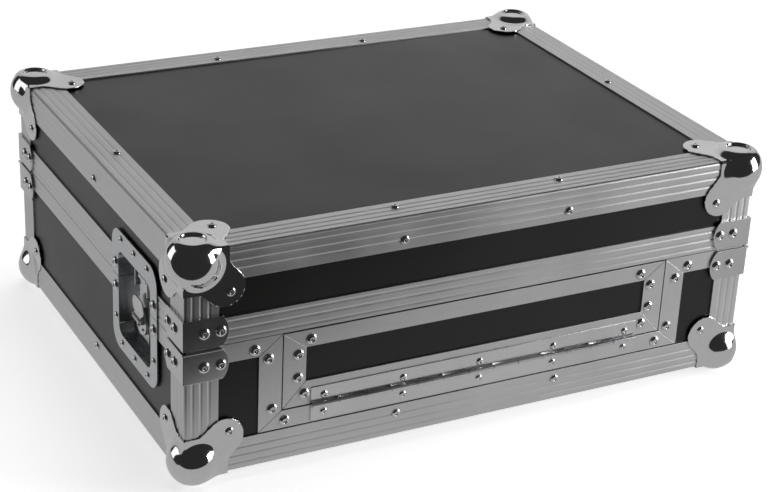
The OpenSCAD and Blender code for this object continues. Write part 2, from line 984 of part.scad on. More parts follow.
// Sliding hook: a plate with a slot for the axle and a bent end
module left_latch_hook() {
    slot_r = axle_r + 0.4;
    color(DARK_STEEL) difference() {
        union() {
            latch_box([hook_x0, -hook_w / 2, hook_low], [hook_x1, hook_w / 2, hook_top]);
            latch_box([hook_x0 - 1.6, -hook_w / 2, hook_top - 3], [hook_x0, hook_w / 2, hook_top]);
        }
        for (z = [rotor_z - hook_travel, rotor_z]) translate([hook_x0 - CUT, latch_y, z])
            rotate([0, 90, 0]) cylinder(r = slot_r, h = 2 * CUT + hook_x1 - hook_x0);
        latch_box(
            [hook_x0 - CUT, -slot_r, rotor_z - hook_travel],
            [hook_x1 + CUT, slot_r, rotor_z]
        );
    }
}

module right_latch_base_dish() {
    on_right() left_latch_base_dish();
}

module right_latch_lid_dish() {
    on_right() left_latch_lid_dish();
}

module right_latch_rotor() {
    on_right() left_latch_rotor();
}

module right_latch_wing() {
    on_right() left_latch_wing();
}

module right_latch_hook() {
    on_right() left_latch_hook();
}

// ---- lid hinges and handle at the rear ----

// Leaf of a lid hinge on the outside of the rear: side 1 is the lid's, with the middle
// knuckle, and side -1 the base's, with the two outer ones
module lid_hinge_leaf(side) {
    half = lid_hinge_l / 2;
    middle = lid_hinge_l / 4;
    spans = side > 0 ? [[-middle + 0.2, middle - 0.2]] : [[-half, -middle - 0.2], [middle + 0.2, half]];
    reach = side > 0 ? lid_z + lid_rim_h - 0.5 - lid_axis_z : lid_axis_z - base_rim_z - 0.5;
    translate([case_w / 2 + lid_hinge_x, case_d, lid_axis_z]) mirror([0, 0, side > 0 ? 0 : 1])
        difference() {
            union() {
                block([-half, 0, lid_leaf_clear], [half, lid_leaf_t, reach]);
                for (s = spans) {
                    block([s[0], 0, 0], [s[1], lid_leaf_t, lid_leaf_clear]);
                    translate([s[0], lid_axis_y - case_d, 0]) rotate([0, 90, 0])
                        cylinder(r = lid_knuckle_r, h = s[1] - s[0]);
                }
            }
            translate([-half - CUT, lid_axis_y - case_d, 0]) rotate([0, 90, 0])
                cylinder(r = lid_bore_r, h = lid_hinge_l + 2 * CUT);
        }
}

module lid_hinge_base_leaves() {
    color(STEEL) left_and_right() lid_hinge_leaf(-1);
}

module lid_hinge_lid_leaves() {
    color(STEEL) left_and_right() lid_hinge_leaf(1);
}

// Headed pins
module lid_hinge_pins() {
    head_l = 1.2;
    color(DARK_STEEL) left_and_right()
        translate([case_w / 2 + lid_hinge_x - lid_hinge_l / 2, lid_axis_y, lid_axis_z]) rotate([0, 90, 0]) {
            translate([0, 0, -head_l]) cylinder(r = lid_pin_r, h = lid_hinge_l + 2 * head_l);
            for (z = [-head_l - 0.3, lid_hinge_l + 0.3]) translate([0, 0, z])
                cylinder(r = lid_knuckle_r - 0.5, h = head_l);
        }
}

// Recessed dish of the handle, in the rear panel
module handle_dish() {
    pan_end = skin_t + handle_pan_depth;
    color(STEEL) on_rear() translate([case_w / 2, 0, 0]) difference() {
        union() {
            translate([0, skin_t, 0]) rotate([90, 0, 0]) linear_extrude(dish_t)
                round_rect(handle_w, handle_z0, handle_z1, 10);
            translate([0, pan_end + dish_t, 0]) rotate([90, 0, 0])
                linear_extrude(pan_end + 2 * dish_t - skin_t) round_rect(
                    handle_pan_w + 2 * dish_t, handle_pan_z0 - dish_t, handle_pan_z1 + dish_t, 5 + dish_t
                );
        }
        translate([0, pan_end, 0]) rotate([90, 0, 0]) linear_extrude(pan_end + CUT)
            round_rect(handle_pan_w, handle_pan_z0, handle_pan_z1, 5);
        translate([-handle_w / 2, case_d - handle_axis_y, handle_axis_z]) rotate([0, 90, 0])
            cylinder(r = handle_bore_r, h = handle_w);
    }
}

// Bail with trunnions in the dish's side walls, two arms and a thick grip
module handle_bail() {
    color(RUBBER) translate([case_w / 2, handle_axis_y, 0]) {
        translate([-handle_arm_x, 0, grip_z]) rotate([0, 90, 0]) cylinder(r = grip_r, h = 2 * handle_arm_x);
        for (side = [0, 1]) mirror([side, 0, 0]) {
            translate([handle_arm_x, 0, grip_z]) sphere(grip_r);
            translate([handle_arm_x, 0, grip_z]) cylinder(r = handle_rod_r, h = handle_axis_z - grip_z);
            translate([handle_arm_x, 0, handle_axis_z]) sphere(handle_rod_r);
            translate([handle_arm_x, 0, handle_axis_z]) rotate([0, 90, 0])
                cylinder(r = handle_rod_r, h = handle_pan_w / 2 + dish_t + 0.6 - handle_arm_x);
        }
    }
}

// ---- foam ----

module base_floor_foam() {
    color(FOAM) block([foam_0, foam_0, foam_0], [case_w - foam_0, case_d - foam_0, foam_0 + foam_t]);
}

// Left, right and rear walls
module base_wall_foam() {
    low = foam_0 + foam_t + foam_gap;
    high = seam_z - base_inner_h - foam_gap;
    color(FOAM) {
        left_and_right() difference() {
            block([foam_0, foam_0, low], [foam_0 + foam_t, case_d - foam_0, high]);
            latch_room();
        }
        difference() {
            block(
                [foam_0 + foam_t + foam_gap, case_d - foam_0 - foam_t, low],
                [case_w - foam_0 - foam_t - foam_gap, case_d - foam_0, high]
            );
            handle_room();
        }
    }
}

module lid_foam() {
    color(FOAM) block(
        [foam_0, foam_0, case_h - foam_0 - lid_foam_t],
        [case_w - foam_0, case_d - foam_0, case_h - foam_0]
    );
}

// ---- the assembly ----

module base_front_extrusion() {
    front_extrusion();
}

module base_rear_extrusion() {
    on_rear() front_extrusion();
}

module base_left_extrusion() {
    left_extrusion();
}

module base_right_extrusion() {
    on_right() left_extrusion();
}

module lid_front_extrusion() {
    upside_down() front_extrusion();
}

module lid_rear_extrusion() {
    upside_down() on_rear() front_extrusion();
}

module lid_left_extrusion() {
    upside_down() left_extrusion();
}

module lid_right_extrusion() {
    upside_down() on_right() left_extrusion();
}

in_case() base_floor_panel();
in_case() base_left_panel();
in_case() base_right_panel();
in_case() base_rear_panel();
in_case() base_front_panels();
in_case() base_sill_panel();
in_case() base_front_extrusion();
in_case() base_rear_extrusion();
in_case() base_left_extrusion();
in_case() base_right_extrusion();
in_case() base_corner_posts();
in_case() base_side_rims();
in_case() base_rear_rim();
in_case() base_front_rims();
in_case() opening_uprights();
in_case() opening_sill_strip();
in_case() base_front_ball_corners();
in_case() base_rear_ball_corners();
in_case() base_corner_braces();
in_case() base_rivets();
in_case() flap_hinge_fixed_leaf();
in_case() flap_hinge_pin();
in_case() left_latch_base_dish();
in_case() right_latch_base_dish();
in_case() lid_hinge_base_leaves();
in_case() lid_hinge_pins();
in_case() handle_dish();
in_case() base_floor_foam();
in_case() base_wall_foam();
in_case() lid_top_panel();
in_case() lid_front_panel();
in_case() lid_rear_panel();
in_case() lid_side_panels();
in_case() lid_front_extrusion();
in_case() lid_rear_extrusion();
in_case() lid_left_extrusion();
in_case() lid_right_extrusion();
in_case() lid_corner_posts();
in_case() lid_front_rim();
in_case() lid_rear_rim();
in_case() lid_side_rims();
in_case() lid_front_ball_corners();
in_case() lid_rear_ball_corners();
in_case() lid_corner_braces();
in_case() lid_rivets();
in_case() left_latch_lid_dish();
in_case() right_latch_lid_dish();
in_case() lid_hinge_lid_leaves();
in_case() lid_foam();
in_case() flap_panel();
in_case() flap_strips();
in_case() flap_hinge_moving_leaf();
in_case() flap_rivets();
in_case() left_latch_rotor();
in_case() left_latch_wing();
in_case() left_latch_hook();
in_case() right_latch_rotor();
in_case() right_latch_wing();
in_case() right_latch_hook();
in_case() handle_bail();
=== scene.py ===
"""Looks of a DJ controller's flight case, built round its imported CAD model.

All sizes are in metres, in the row frame: +X right, +Y rear, +Z up, origin on the ground.
"""

import math

import bmesh
import bpy
import numpy as np
from mathutils import Matrix, Vector


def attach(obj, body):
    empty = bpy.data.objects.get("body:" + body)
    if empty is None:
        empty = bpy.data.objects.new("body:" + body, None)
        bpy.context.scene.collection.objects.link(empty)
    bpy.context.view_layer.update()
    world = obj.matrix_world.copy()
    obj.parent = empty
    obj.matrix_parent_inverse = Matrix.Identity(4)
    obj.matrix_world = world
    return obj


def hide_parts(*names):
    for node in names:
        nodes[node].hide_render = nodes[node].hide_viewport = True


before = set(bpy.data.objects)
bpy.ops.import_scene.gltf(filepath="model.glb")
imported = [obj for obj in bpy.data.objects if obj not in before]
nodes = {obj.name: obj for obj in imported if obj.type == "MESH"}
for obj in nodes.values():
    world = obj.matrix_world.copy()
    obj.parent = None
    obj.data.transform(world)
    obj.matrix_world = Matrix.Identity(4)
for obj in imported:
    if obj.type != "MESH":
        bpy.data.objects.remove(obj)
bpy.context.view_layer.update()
MM = 0.001

# ---- camera ----

CAMERA_AT = (-0.7843, -1.4979, 0.8772)
HEADING, TILT, ROLL = 28.06, 25.13, 2.73
LENS = 91.4

cam_data = bpy.data.cameras.new("camera")
cam_data.sensor_width = 36
cam_data.lens = LENS
cam_data.clip_start, cam_data.clip_end = 0.05, 50
camera = bpy.data.objects.new("camera", cam_data)
bpy.context.collection.objects.link(camera)
turn = (
    Matrix.Rotation(math.radians(-HEADING), 3, "Z")
    @ Matrix.Rotation(math.radians(90 - TILT), 3, "X")
    @ Matrix.Rotation(math.radians(ROLL), 3, "Z")
)
camera.matrix_world = Matrix.Translation(CAMERA_AT) @ turn.to_4x4()
bpy.context.scene.camera = camera
bpy.context.scene.view_settings.view_transform = "Standard"


# ---- materials ----

class Nodes:
    """A material's node tree, with short calls for its nodes."""

    def __init__(self, name):
        self.mat = bpy.data.materials.new(name)
        self.mat.use_nodes = True
        self.tree = self.mat.node_tree
        self.tree.nodes.clear()
        self.shader = self.add("ShaderNodeBsdfPrincipled")
        out = self.add("ShaderNodeOutputMaterial")
        self.link(self.shader.outputs[0], out.inputs[0])
        self.coords = self.add("ShaderNodeTexCoord").outputs["Object"]

    def add(self, kind, **values):
        node = self.tree.nodes.new(kind)
        for key, value in values.items():
            setattr(node, key, value)
        return node

    def link(self, a, b):
        self.tree.links.new(a, b)

    def set(self, **values):
        for key, value in values.items():
            self.shader.inputs[NAMES.get(key, key.capitalize())].default_value = value

    def scaled(self, scale):
        node = self.add("ShaderNodeMapping")
        node.inputs["Scale"].default_value = scale
        self.link(self.coords, node.inputs["Vector"])
        return node.outputs[0]

    def noise(self, scale, detail=4, rough=0.6, coords=None):
        node = self.add("ShaderNodeTexNoise")
        node.inputs["Scale"].default_value = scale
        node.inputs["Detail"].default_value = detail
        node.inputs["Roughness"].default_value = rough
        self.link(coords or self.coords, node.inputs["Vector"])
        return node.outputs["Fac"]

    def cells(self, scale):
        node = self.add("ShaderNodeTexVoronoi", feature="F1")
        node.inputs["Scale"].default_value = scale
        self.link(self.coords, node.inputs["Vector"])
        return node.outputs["Distance"]

    def spread(self, value, low, high, a=0.0, b=1.0):
        node = self.add("ShaderNodeMapRange")
        for i, x in enumerate((low, high, a, b)):
            node.inputs[i + 1].default_value = x
        self.link(value, node.inputs[0])
        return node.outputs[0]

    def math(self, kind, a, b):
        node = self.add("ShaderNodeMath", operation=kind)
        for i, x in enumerate((a, b)):
            if isinstance(x, (int, float)):
                node.inputs[i].default_value = x
            else:
                self.link(x, node.inputs[i])
        return node.outputs[0]

    def colours(self, value, stops):
        node = self.add("ShaderNodeValToRGB")
        ramp = node.color_ramp
        while len(ramp.elements) < len(stops):
            ramp.elements.new(0.5)
        for e, (at, c) in zip(ramp.elements, stops):
            e.position = at
            e.color = (*c, 1)
        self.link(value, node.inputs[0])
        return node.outputs[0]

    def bump(self, height, distance, strength=1.0):
        node = self.add("ShaderNodeBump")
        node.inputs["Distance"].default_value = distance
        node.inputs["Strength"].default_value = strength
        self.link(height, node.inputs["Height"])
        return node.outputs[0]


NAMES = {
    "ior": "IOR",
    "specular": "Specular IOR Level",
    "sheen": "Sheen Weight",
    "sheen_rough": "Sheen Roughness",
}


def worn_metal(
    name, dark, light, rough, lines=(1, 1, 1), line_scale=900, line_depth=4e-6, smudge=0.05
):
    """Metal with fine lines across the long axes of lines, faint stains and a few scuffs."""
    n = Nodes(name)
    n.set(metallic=1.0)
    grain = n.noise(line_scale, 3, 0.7, n.scaled(lines))
    stain = n.noise(14, 5, 0.6)
    scuff = n.spread(n.noise(60, 8, 0.75), 0.6, 0.72)
    tone = n.math("ADD", n.math("MULTIPLY", grain, 0.45), n.math("MULTIPLY", stain, 0.55))
    n.link(n.colours(tone, [(0.3, dark), (0.7, light)]), n.shader.inputs["Base Color"])
    r = n.spread(stain, 0.3, 0.7, rough - smudge, rough + smudge)
    r = n.math("ADD", r, n.math("MULTIPLY", scuff, 0.06))
    n.link(r, n.shader.inputs["Roughness"])
    n.link(n.bump(grain, line_depth), n.shader.inputs["Normal"])
    return n.mat


def laminate():
    """Black laminate skin with a fine pebble grain, broad changes of tone and a little dust."""
    n = Nodes("laminate")
    n.set(ior=1.45)
    pebble = n.cells(1400)
    broad = n.noise(9, 4, 0.5)
    dust = n.spread(n.noise(700, 6, 0.8), 0.66, 0.8)
    tone = n.math("ADD", broad, n.math("MULTIPLY", dust, 0.4))
    stops = [
        (0.3, (0.0026, 0.0022, 0.0019)),
        (0.75, (0.0044, 0.0038, 0.0034)),
        (1.0, (0.02, 0.02, 0.02)),
    ]
    n.link(n.colours(tone, stops), n.shader.inputs["Base Color"])
    n.link(n.spread(broad, 0.3, 0.7, 0.3, 0.38), n.shader.inputs["Roughness"])
    n.link(n.bump(pebble, 1.2e-5, 0.5), n.shader.inputs["Normal"])
    return n.mat


LAMINATE = laminate()
DULL_LIGHT = ((0.56, 0.56, 0.57), (0.66, 0.66, 0.67))
ALUMINIUM_X = worn_metal("aluminium_along_x", *DULL_LIGHT, 0.38, lines=(0.02, 1, 1))
ALUMINIUM_Y = worn_metal("aluminium_along_y", *DULL_LIGHT, 0.38, lines=(1, 0.02, 1))
ALUMINIUM_Z = worn_metal("aluminium_along_z", *DULL_LIGHT, 0.38, lines=(1, 1, 0.02))
CHROME = worn_metal(
    "chrome", (0.64, 0.64, 0.65), (0.72, 0.72, 0.73), 0.09, line_scale=300, line_depth=5e-7, smudge=0.03
)
PLATE = worn_metal("plated_sheet", (0.54, 0.54, 0.55), (0.64, 0.64, 0.65), 0.2, line_depth=1e-6)
HINGE = worn_metal(
    "hinge_steel", (0.6, 0.6, 0.61), (0.74, 0.74, 0.75), 0.26, lines=(0.05, 1, 1), line_depth=2e-6
)
PRESSED = worn_metal("zinc_sheet", (0.5, 0.51, 0.52), (0.62, 0.63, 0.64), 0.27, line_depth=2e-6)
ZINC = worn_metal(
    "zinc_casting", (0.56, 0.56, 0.56), (0.68, 0.68, 0.68), 0.24, line_scale=500, line_depth=5e-6
)


def foam_material():
    """Charcoal foam with an open pore in every cell, the tone painted darker toward each pore's hollow as
    shade.
    """
    n = Nodes("foam")
    n.set(roughness=0.95, specular=0.2, sheen=0.3, sheen_rough=0.6)
    pore_relief_and_shade = n.cells(900)
    # The tone darkens toward each pore's hollow, where the bump sinks the surface: painted shade in every
    # pore.
    tone = n.math("ADD", n.math("MULTIPLY", pore_relief_and_shade, 0.6), n.math("MULTIPLY", n.noise(30), 0.4))
    stops = [(0.2, (0.008, 0.008, 0.009)), (0.8, (0.04, 0.04, 0.043))]
    n.link(n.colours(tone, stops), n.shader.inputs["Base Color"])
    n.link(n.bump(pore_relief_and_shade, 3e-4), n.shader.inputs["Normal"])
    return n.mat


def rubber_material():
    """Black moulded rubber with a fine grain."""
    n = Nodes("grip_rubber")
    n.set(roughness=0.6, specular=0.35)
    grain = n.noise(1500, 4, 0.7)
    stops = [(0.3, (0.011, 0.011, 0.012)), (0.7, (0.022, 0.022, 0.023))]
    n.link(n.colours(n.noise(40), stops), n.shader.inputs["Base Color"])
    n.link(n.bump(grain, 2e-5), n.shader.inputs["Normal"])
    return n.mat


FOAM = foam_material()
RUBBER = rubber_material()

RUNS_Y = ("left_extrusion", "right_extrusion", "side_rims")
RUNS_Z = ("corner_posts", "uprights")
for name, obj in nodes.items():
    if "foam" in name:
        m = FOAM
    elif "panel" in name:
        m = LAMINATE
    elif "ball_corner" in name or "rivets" in name:
        m = CHROME
    elif "brace" in name:
        m = PLATE
    elif "dish" in name:
        m = PRESSED
    elif any(k in name for k in ("rotor", "wing", "hook", "lid_hinge", "hinge_pin")):
        m = ZINC
    elif "flap_hinge" in name:
        m = HINGE
    elif name == "handle_bail":
        m = RUBBER
    elif any(k in name for k in RUNS_Y):
        m = ALUMINIUM_Y
    elif any(k in name for k in RUNS_Z):
        m = ALUMINIUM_Z
    else:
        m = ALUMINIUM_X
    for s in obj.material_slots:
        s.material = m

# ---- helpers for the shaped pieces, in millimetres of the case: its lower front left corner is at zero ----

CASE_W, CASE_D, CASE_H, CASE_LIFT = 552, 427, 208, 10


def case_to_row(points):
    return (np.asarray(points) - (CASE_W / 2, CASE_D / 2, -CASE_LIFT)) * MM


def solid_piece(name, points, faces, body, stands_for, material, slot_name, smooth_deg=35):
    """A piece from case points and faces, smooth where its faces meet under smooth_deg."""
    mesh = bpy.data.meshes.new(name)
    mesh.from_pydata(case_to_row(points).tolist(), [], [tuple(int(i) for i in f) for f in faces])
    mesh.polygons.foreach_set("use_smooth", [True] * len(mesh.polygons))
    mesh.set_sharp_from_angle(angle=math.radians(smooth_deg))
    mesh.materials.append(material)
    obj = bpy.data.objects.new(name, mesh)
    bpy.context.collection.objects.link(obj)
    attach(obj, body)
    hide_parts(*stands_for)
    return obj


def joined(parts):
    """One list of points and one of faces from several pairs."""
    points, faces, start = [], [], 0
    for p, f in parts:
        points.append(np.asarray(p, float))
        faces += [tuple(i + start for i in face) for face in f]
        start += len(p)
    return np.concatenate(points), faces


def mirrored(part, axis, size):
    """A part mirrored across the case's middle on one axis."""
    points, faces = part
    q = np.array(points, float)
    q[:, axis] = size - q[:, axis]
    return q, [tuple(reversed(f)) for f in faces]


def net(field, origin, step, shape, polish=3):
    """Points and faces of a field's zero level: one point per grid cell it crosses, moved onto it."""
    origin = np.broadcast_to(origin, 3)
    grid = np.stack(np.meshgrid(*[o + step * np.arange(shape) for o in origin], indexing="ij"), -1)
    inner = field(grid.reshape(-1, 3)).reshape(grid.shape[:3]) < 0
    cell = shape - 1
    ends = [(i, j, k) for i in (0, 1) for j in (0, 1) for k in (0, 1)]
    count = sum(inner[i : i + cell, j : j + cell, k : k + cell].astype(int) for i, j, k in ends)
    crossed = (count > 0) & (count < 8)
    number = np.full(crossed.shape, -1)
    number[crossed] = np.arange(crossed.sum())
    points = origin + step * (np.argwhere(crossed) + 0.5)
    small = step * 0.05
    for _ in range(polish):
        value = field(points)
        slope = np.stack(
            [(field(points + small * e) - field(points - small * e)) / (2 * small) for e in np.eye(3)], -1
        )
        move = value[:, None] * slope / np.maximum((slope**2).sum(-1, keepdims=True), 0.2)
        points = points - np.clip(move, -0.7 * step, 0.7 * step)
    faces = []
    for axis in range(3):
        one = np.moveaxis(inner, axis, 0)
        change = np.argwhere(one[:-1, 1:-1, 1:-1] != one[1:, 1:-1, 1:-1])
        n = np.moveaxis(number, axis, 0)
        i, j, k = change[:, 0], change[:, 1] + 1, change[:, 2] + 1
        ring = np.stack([n[i, j - 1, k - 1], n[i, j, k - 1], n[i, j, k], n[i, j - 1, k]], -1)
        flip = one[i, j, k] == (axis == 1)
        ring[flip] = ring[flip][:, ::-1]
        faces += [tuple(f) for f in ring]
    return points, faces


def round_union(a, b, r):
    """Union of two distance fields with a fillet of radius r."""
    return np.maximum(r, np.minimum(a, b)) - np.hypot(np.maximum(r - a, 0), np.maximum(r - b, 0))


def round_cut(a, b, r):
    """Intersection of two distance fields with its edge rounded to radius r."""
    return np.minimum(-r, np.maximum(a, b)) + np.hypot(np.maximum(r + a, 0), np.maximum(r + b, 0))


def box_field(points, low, high):
    low, high = np.asarray(low, float), np.asarray(high, float)
    q = np.abs(points - (low + high) / 2) - (high - low) / 2
    return np.linalg.norm(np.maximum(q, 0), axis=-1) + np.minimum(q.max(-1), 0)


# ---- ball corners ----

SHEET_T = 1.3
PLATE_SIDE, LOBE_C, LOBE_R, LOBE_FILLET = 38.5, 35.0, 17.4, 9.0
BALL_INSET = 12.0
LOW_BALL_R, HIGH_BALL_R = 22.0, 23.4
HIGH_BALL_TOP = 6.5
RECESS_R, RECESS_DEPTH = 10.6, 2.5
FLARE_R = 4.5
FOLD_R = 2.2


def plate_outline(u, v):
    """Distance from a plate's outline: a square part with a round lobe on its diagonal."""
    p = np.stack([u, v], -1)
    square = box_field(p, (-SHEET_T - 5, -SHEET_T - 5), (PLATE_SIDE, PLATE_SIDE))
    lobe = np.hypot(u - LOBE_C, v - LOBE_C) - LOBE_R
    return round_union(square, lobe, LOBE_FILLET)


def corner_field(points, ball_r, stacking):
    """Pressed corner for the case's lower front left: a ball that flares out into three plates."""
    x, y, z = points.T
    sheets = []
    for across, u, v in ((z, x, y), (y, x, z), (x, y, z)):
        slab = np.abs(across + SHEET_T / 2) - SHEET_T / 2
        sheets.append(round_cut(slab, plate_outline(u, v), 0.45))
    sheet = np.minimum(np.minimum(*sheets[:2]), sheets[2])
    out = np.maximum(-points - SHEET_T + FOLD_R, 0)
    cube = np.linalg.norm(out, axis=-1) - FOLD_R + np.minimum((-points - SHEET_T + FOLD_R).max(-1), 0)
    sheet = np.maximum(sheet, cube)
    from_centre = points - BALL_INSET
    ball = np.linalg.norm(from_centre, axis=-1) - ball_r
    if stacking:
        flat = -HIGH_BALL_TOP - z
        ball = round_cut(ball, flat, 2.0)
        axis_r = np.hypot(from_centre[:, 0], from_centre[:, 1])
        wall = axis_r - RECESS_R - 0.35 * (flat + RECESS_DEPTH)
        ball = round_cut(ball, -round_cut(wall, -(flat + RECESS_DEPTH), 0.8), 0.7)
    shape = round_union(sheet, ball, FLARE_R)
    return np.maximum(shape, points.min(-1))


NET_STEP = 0.8
NET_LOW = -13.2
NET_COUNT = 84


def corner_pair(ball_r, stacking):
    """Left and right corner at the lower front of the case."""
    part = net(lambda p: corner_field(p, ball_r, stacking), NET_LOW, NET_STEP, NET_COUNT)
    return joined([part, mirrored(part, 0, CASE_W)])


low_pair = corner_pair(LOW_BALL_R, False)
high_pair = mirrored(corner_pair(HIGH_BALL_R, True), 2, CASE_H)
for pair, body in ((low_pair, "base"), (high_pair, "lid")):
    for place, part in (("front", pair), ("rear", mirrored(pair, 1, CASE_D))):
        solid_piece(
            f"{body}_{place}_pressed_corners", *part, body,
            [f"{body}_{place}_ball_corners"], CHROME, "bright_steel", 50,
        )

# ---- rivets ----

# Profile of a tubular rivet's head with its open eye: radius and height over the sheet for a radius of 1
RIVET_PROFILE = (
    (1.0, 0.0), (1.0, 0.05), (0.985, 0.11), (0.94, 0.2), (0.85, 0.3), (0.73, 0.375), (0.6, 0.42),
    (0.48, 0.435), (0.4, 0.42), (0.345, 0.38), (0.32, 0.31), (0.31, 0.1), (0.2, 0.06),
)
RIVET_SEGS = 24


def turned_part(profile, segs, centre, axis):
    """A profile of radii and heights turned round an axis through centre."""
    axis = Vector(axis)
    side = axis.orthogonal().normalized()
    other = axis.cross(side)
    angles = [2 * math.pi * i / segs for i in range(segs)]
    ring = np.array([side * math.cos(a) + other * math.sin(a) for a in angles])
    points = np.concatenate([np.asarray(centre) + ring * r + np.asarray(axis) * h for r, h in profile])
    faces = []
    for i in range(len(profile) - 1):
        for j in range(segs):
            k = (j + 1) % segs
            faces.append((i * segs + j, i * segs + k, (i + 1) * segs + k, (i + 1) * segs + j))
    faces.append(tuple(range(segs))[::-1])
    faces.append(tuple(range(len(points) - segs, len(points))))
    return points, faces


def solids_of(node):
    """Box of every separate solid in a CAD node, in case millimetres."""
    bm = bmesh.new()
    bm.from_mesh(node.data)
    bmesh.ops.remove_doubles(bm, verts=bm.verts, dist=1e-5)
    seen, boxes = set(), []
    for start in bm.verts:
        if start.index in seen:
            continue
        seen.add(start.index)
        todo, found = [start], []
        while todo:
            v = todo.pop()
            found.append(node.matrix_world @ v.co)
            for e in v.link_edges:
                w = e.other_vert(v)
                if w.index not in seen:
                    seen.add(w.index)
                    todo.append(w)
        boxes.append(np.array(found) / MM + (CASE_W / 2, CASE_D / 2, -CASE_LIFT))
    bm.free()
    return boxes


def rivet_heads(node):
    """A turned head in the place and at the size of each solid in a CAD node of rivets."""
    parts = []
    for points in solids_of(node):
        low, high = points.min(0), points.max(0)
        size = high - low
        axis = int(size.argmin())
        radius = float(np.delete(size, axis).mean()) / 2
        centre = (low + high) / 2
        from_axis = np.linalg.norm(np.delete(points - centre, axis, 1), axis=1)
        base = points[from_axis.argmax(), axis]
        way = 1.0 if base < centre[axis] else -1.0
        centre[axis] = base
        direction = np.zeros(3)
        direction[axis] = way
        profile = [(r * radius, h * radius) for r, h in RIVET_PROFILE]
        parts.append(turned_part(profile, RIVET_SEGS, centre, direction))
    return joined(parts)


for name, body in (("base_rivets", "base"), ("lid_rivets", "lid"), ("flap_rivets", "flap")):
    solid_piece(body + "_rivet_heads", *rivet_heads(nodes[name]), body, [name], CHROME, "bright_steel")

# ---- piano hinge ----

HINGE_KNUCKLES, KNUCKLE_L, KNUCKLE_GAP = 13, 25.0, 0.4
KNUCKLE_R, LEAF_T, LEAF_CLEAR, LEAF_H = 2.5, 1.0, 3.2, 16.0
PIN_Y, PIN_Z = -2.9, 48.65
HINGE_X0 = (CASE_W - HINGE_KNUCKLES * KNUCKLE_L) / 2


def knuckle_outline():
    """Rolled knuckle and the neck that leads to its leaf, about the pin: Y back, Z toward the leaf."""
    front = -LEAF_T - PIN_Y
    points = [(-PIN_Y, LEAF_CLEAR), (front, LEAF_CLEAR), (front - 0.05, 2.5), (front - 0.2, 2.05)]
    turn = [math.radians(a) for a in range(52, 361, 14)]
    points += [(KNUCKLE_R * math.cos(a), KNUCKLE_R * math.sin(a)) for a in turn]
    return points + [(KNUCKLE_R, 0), (-PIN_Y, 0)]


def drawn_x(outline, x0, x1, soft=0.25):
    """An outline in Y and Z drawn from x0 to x1, its two ends drawn in a little."""
    outline = np.array(outline)
    middle = outline.mean(0)
    rings = []
    for x, shrink in ((x0, soft), (x0 + soft, 0), (x1 - soft, 0), (x1, soft)):
        away = outline - middle
        q = outline - away / np.linalg.norm(away, axis=1, keepdims=True) * shrink
        rings.append(np.column_stack([np.full(len(q), x), q]))
    points, faces, n = np.concatenate(rings), [], len(outline)
    for i in range(3):
        for j in range(n):
            k = (j + 1) % n
            faces.append((i * n + j, i * n + k, (i + 1) * n + k, (i + 1) * n + j))
    faces.append(tuple(range(n))[::-1])
    faces.append(tuple(range(3 * n, 4 * n)))
    return points, faces


def hinge_leaf(way, first):
    """Leaf that goes up (way 1) or down (way -1) from the pin, with every second knuckle."""
    edge = 0.25
    leaf = [
        (-PIN_Y, LEAF_CLEAR), (-PIN_Y - LEAF_T, LEAF_CLEAR), (-PIN_Y - LEAF_T, LEAF_H - edge),
        (-PIN_Y - LEAF_T + edge, LEAF_H), (-PIN_Y, LEAF_H),
    ]
    parts = [drawn_x(leaf, HINGE_X0, CASE_W - HINGE_X0)]
    for i in range(first, HINGE_KNUCKLES, 2):
        x0 = HINGE_X0 + i * KNUCKLE_L + KNUCKLE_GAP / 2
        parts.append(drawn_x(knuckle_outline(), x0, x0 + KNUCKLE_L - KNUCKLE_GAP))
    points, faces = joined(parts)
    points[:, 2] *= way
    if way < 0:
        faces = [f[::-1] for f in faces]
    return points + (0, PIN_Y, PIN_Z), faces


for body, node, way, first in (
    ("base", "flap_hinge_fixed_leaf", -1, 0),
    ("flap", "flap_hinge_moving_leaf", 1, 1),
):
    solid_piece(node + "_rolled", *hinge_leaf(way, first), body, [node], HINGE, "aluminium", 40)

# ---- handle ----

ARM_X, GRIP_Z, AXIS_Z = 50.0, 53.0, 84.5
BAIL_Y = CASE_D - 6.6
ROD_R, GRIP_R, TRUNNION_X = 2.45, 4.45, 60.6
GRIP_HALF = 43.0


def rounded_path(corners, radius, steps=7):
    """Points along straight runs, the corners between them turned in arcs."""
    corners = [Vector(c) for c in corners]
    path = [corners[0]]
    for a, b, c in zip(corners, corners[1:], corners[2:]):
        back, on = (a - b).normalized(), (c - b).normalized()
        for i in range(steps + 1):
            t = i / steps
            start, end = b + back * radius, b + on * radius
            path.append(start.lerp(b, t).lerp(b.lerp(end, t), t))
    return path + [corners[-1]]


def swept(path, radii, segs):
    """Tube along a path that stays in one plane across Y."""
    points, faces = [], []
    side = Vector((0, 1, 0))
    for i, (p, r) in enumerate(zip(path, radii)):
        ahead = (path[min(i + 1, len(path) - 1)] - path[max(i - 1, 0)]).normalized()
        other = ahead.cross(side)
        for j in range(segs):
            a = 2 * math.pi * j / segs
            points.append(p + side * (r * math.cos(a)) + other * (r * math.sin(a)))
    for i in range(len(path) - 1):
        for j in range(segs):
            k = (j + 1) % segs
            faces.append((i * segs + j, i * segs + k, (i + 1) * segs + k, (i + 1) * segs + j))
    faces.append(tuple(range(segs))[::-1])
    faces.append(tuple(range(len(points) - segs, len(points))))
    return np.array(points), faces


